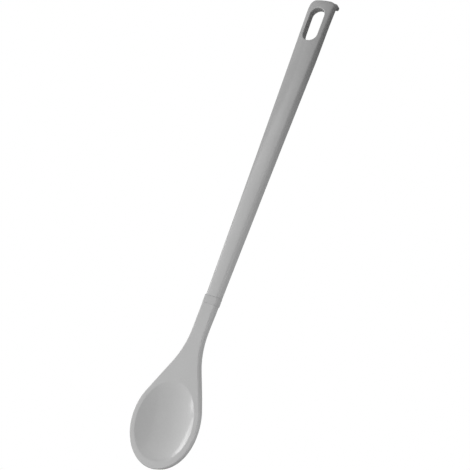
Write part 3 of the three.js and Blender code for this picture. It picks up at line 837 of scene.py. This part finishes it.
class SPOON_OT_handle(bpy.types.Operator):
    """Builds the handle with its slot, its lip and the socket for the tang"""

    bl_idname = "spoon.handle"
    bl_label = "Handle"

    def execute(self, context):
        settings = context.scene.spoon
        form = HandleForm(settings.handle)
        rings = form.rings()
        handle = skin("handle_moulding", rings, (middle(rings[0]), middle(rings[-1])))
        lip = form.lip_rings()
        carve(handle, "UNION", skin("lip", lip, (middle(lip[0]), middle(lip[-1]))))
        slot = form.slot_rings()
        carve(handle, "DIFFERENCE", skin("slot", slot, (middle(slot[0]), middle(slot[-1]))))
        socket_end = TANG_TIP - settings.joint.socket_end
        room = tang_skin(settings.joint, settings.head, "socket", NECK, socket_end, settings.joint.clearance)
        carve(handle, "DIFFERENCE", room)
        finish = settings.finish
        material = moulded_melamine("Moulded melamine, handle", finish, finish.handle_grey)
        dress(handle, "handle", material)
        return {"FINISHED"}


class SPOON_OT_collar(bpy.types.Operator):
    """Builds the collar, a ring round the tang between the handle and the head"""

    bl_idname = "spoon.collar"
    bl_label = "Collar"

    def execute(self, context):
        settings = context.scene.spoon
        collar = skin("collar_ring", collar_rings(settings.joint, settings.head, settings.handle))
        finish = settings.finish
        material = moulded_melamine("Moulded melamine, collar", finish, finish.collar_grey)
        dress(collar, "joint_collar", material)
        return {"FINISHED"}


class SPOON_OT_head(bpy.types.Operator):
    """Builds the head: dished bowl, rim, neck and tang"""

    bl_idname = "spoon.head"
    bl_label = "Head"

    def execute(self, context):
        settings = context.scene.spoon
        head = HeadForm(settings.head).skin("head_moulding")
        root = NECK + settings.head.neck_round
        carve(head, "UNION", tang_skin(settings.joint, settings.head, "tang", root, TANG_TIP, 0.0))
        finish = settings.finish
        material = moulded_melamine("Moulded melamine, head", finish, finish.head_grey)
        dress(head, "spoon_head", material)
        return {"FINISHED"}


def neutral(level):
    """Black, grey or white of an even level, as red, green, blue and alpha."""
    return (level, level, level, 1.0)


def white_to_camera(tree, lighting):
    """A surface that the camera sees as plain white, while it lights the spoon in its own way."""
    is_camera = add_node(tree, "ShaderNodeLightPath", {}, {}).outputs["Is Camera Ray"]
    white = add_node(tree, "ShaderNodeEmission", {}, {"Color": neutral(1.0), "Strength": 1.0})
    shown = {0: is_camera, 1: lighting, 2: white.outputs["Emission"]}
    return add_node(tree, "ShaderNodeMixShader", {}, shown).outputs["Shader"]


def white_floor(studio):
    """The square of matt white paper that the spoon lies on."""
    bpy.ops.mesh.primitive_plane_add(size=studio.floor_size)
    floor = bpy.context.object
    floor.name = "white_floor"
    paper = bpy.data.materials.new("White paper")
    tree = empty_tree(paper)
    matt = add_node(tree, "ShaderNodeBsdfDiffuse", {}, {"Color": neutral(studio.floor_white)})
    surface = white_to_camera(tree, matt.outputs["BSDF"])
    add_node(tree, "ShaderNodeOutputMaterial", {}, {"Surface": surface})
    floor.data.materials.append(paper)
    return floor


def white_world(studio):
    """The white room, which lights the spoon evenly from all round."""
    world = bpy.data.worlds.new("White studio")
    tree = empty_tree(world)
    glow = add_node(tree, "ShaderNodeBackground", {}, {"Color": neutral(1.0), "Strength": studio.ambient})
    surface = white_to_camera(tree, glow.outputs["Background"])
    add_node(tree, "ShaderNodeOutputWorld", {}, {"Surface": surface})
    return world


def softbox(name, aim, turn, rise, distance, width, height, watts, roll=0.0):
    """A rectangular softbox that faces a point from a distance. In degrees, it is turned about that point
    from +X, risen above the table and rolled about its own middle."""
    light = bpy.data.lights.new(name, "AREA")
    light.shape = "RECTANGLE"
    light.size = width
    light.size_y = height
    light.energy = watts
    box = bpy.data.objects.new(name, light)
    turn = math.radians(turn)
    rise = math.radians(rise)
    way = Vector((math.cos(turn) * math.cos(rise), math.sin(turn) * math.cos(rise), math.sin(rise)))
    box.location = aim + way * distance
    facing = (-way).to_track_quat("-Z", "Y")
    box.rotation_euler = (facing @ Quaternion((0, 0, 1), math.radians(roll))).to_euler()
    bpy.context.scene.collection.objects.link(box)
    return box


def fade_upwards(box):
    """Makes a softbox brightest along its foot and fade evenly to nothing at its top."""
    tree = empty_tree(box.data)
    place = add_node(tree, "ShaderNodeNewGeometry", {}, {}).outputs["Parametric"]
    height = add_node(tree, "ShaderNodeSeparateXYZ", {}, {"Vector": place}).outputs["Y"]
    fade = add_node(tree, "ShaderNodeMath", {"operation": "SUBTRACT"}, {0: 1.0, 1: height}).outputs["Value"]
    shine = add_node(tree, "ShaderNodeEmission", {}, {"Strength": fade})
    add_node(tree, "ShaderNodeOutputLight", {}, {"Surface": shine.outputs["Emission"]})


def studio_lights(settings):
    """The lights: most stand on the left, where the dish and the front of the handle mirror them."""
    studio = settings.studio
    bowl = HeadForm(settings.head).centre.to_3d()
    end = Vector((0.0, END_Y, 0.0))
    web = Vector((0.0, studio.fill_place, 0.0))
    scrim = softbox(
        "Scrim", bowl, turn=198, rise=66, distance=0.9, width=1.3, height=2.1, watts=studio.scrim_power
    )
    fade_upwards(scrim)
    fill = softbox(
        "Side fill", web, turn=0, rise=8, distance=0.2, width=0.2, height=0.06, watts=studio.fill_power
    )
    # So close by, its reflection would whiten the edges that turn towards it
    fill.visible_glossy = False
    left = softbox(
        "Left softbox", bowl, turn=192, rise=48, distance=0.9, width=1.2, height=1.2,
        watts=studio.left_power,
    )
    strip = softbox(
        "Low strip", bowl, turn=180, rise=15.5, distance=0.9, width=0.54, height=0.173,
        watts=studio.strip_power, roll=-20,
    )
    strip_end = softbox(
        "Strip end", bowl, turn=201, rise=17, distance=0.9, width=0.126, height=0.19,
        watts=studio.strip_end_power,
    )
    rear = softbox(
        "Rear softbox", end, turn=112, rise=48, distance=0.8, width=0.6, height=0.5, watts=studio.rear_power
    )
    return [scrim, left, strip, strip_end, rear, fill]


def black_card(studio):
    """An upright card of black paper beside the end of the handle. It stays out of the picture and keeps
    light off the handle's right edge, so that this edge shows dark against the floor."""
    place = Vector((studio.card_gap, END_Y - studio.card_setback, studio.card_height / 2))
    bpy.ops.mesh.primitive_plane_add(size=1.0, location=place, rotation=(0.0, QUARTER, 0.0))
    card = bpy.context.object
    card.name = "Black card"
    card.scale = (studio.card_height, studio.card_length, 1.0)
    card.visible_camera = False
    paper = bpy.data.materials.new("Black paper")
    tree = empty_tree(paper)
    matt = add_node(tree, "ShaderNodeBsdfDiffuse", {}, {"Color": neutral(studio.card_black)})
    add_node(tree, "ShaderNodeOutputMaterial", {}, {"Surface": matt.outputs["BSDF"]})
    card.data.materials.append(paper)
    return card


def photo_camera(studio):
    """The camera, at the photograph's viewing angle."""
    camera = bpy.data.objects.new("Camera", bpy.data.cameras.new("Camera"))
    camera.location = studio.camera_place
    camera.rotation_euler = studio.camera_turn
    camera.data.lens = studio.camera_lens
    camera.data.clip_start = 10 * MM
    bpy.context.scene.collection.objects.link(camera)
    return camera


class SPOON_OT_studio(bpy.types.Operator):
    """Sets up the white floor, the lights, the black card and the camera"""

    bl_idname = "spoon.studio"
    bl_label = "Studio"

    def execute(self, context):
        scene = context.scene
        studio = scene.spoon.studio
        floor = white_floor(studio)
        scene.world = white_world(studio)
        lights = studio_lights(scene.spoon)
        card = black_card(studio)
        camera = photo_camera(studio)
        scene.camera = camera
        scene.view_settings.view_transform = "Standard"
        return {"FINISHED"}


class SPOON_PT_panel(bpy.types.Panel):
    """Lists what builds the spoon, and its settings"""

    bl_label = "Cooking spoon"
    bl_space_type = "VIEW_3D"
    bl_region_type = "UI"
    bl_category = "Spoon"

    def draw(self, context):
        for operator in OPERATORS:
            self.layout.operator(operator.bl_idname)
        settings = context.scene.spoon
        for group in (settings.handle, settings.joint, settings.head, settings.finish, settings.studio):
            box = self.layout.box()
            for name in group.__annotations__:
                box.prop(group, name)


OPERATORS = (SPOON_OT_handle, SPOON_OT_collar, SPOON_OT_head, SPOON_OT_studio)
GROUPS = (HandleSizes, JointSizes, HeadSizes, FinishSettings, StudioSettings, SpoonSettings)
CLASSES = (*GROUPS, *OPERATORS, SPOON_PT_panel)


def register():
    """Registers the classes and gives the scene its settings."""
    for cls in CLASSES:
        bpy.utils.register_class(cls)
    bpy.types.Scene.spoon = bpy.props.PointerProperty(type=SpoonSettings)


def unregister():
    """Takes the settings and the classes away again."""
    del bpy.types.Scene.spoon
    for cls in reversed(CLASSES):
        bpy.utils.unregister_class(cls)


def main():
    """Builds the spoon and its studio."""
    register()
    bpy.ops.spoon.handle()
    bpy.ops.spoon.collar()
    bpy.ops.spoon.head()
    bpy.ops.spoon.studio()


if __name__ == "__main__":
    main()
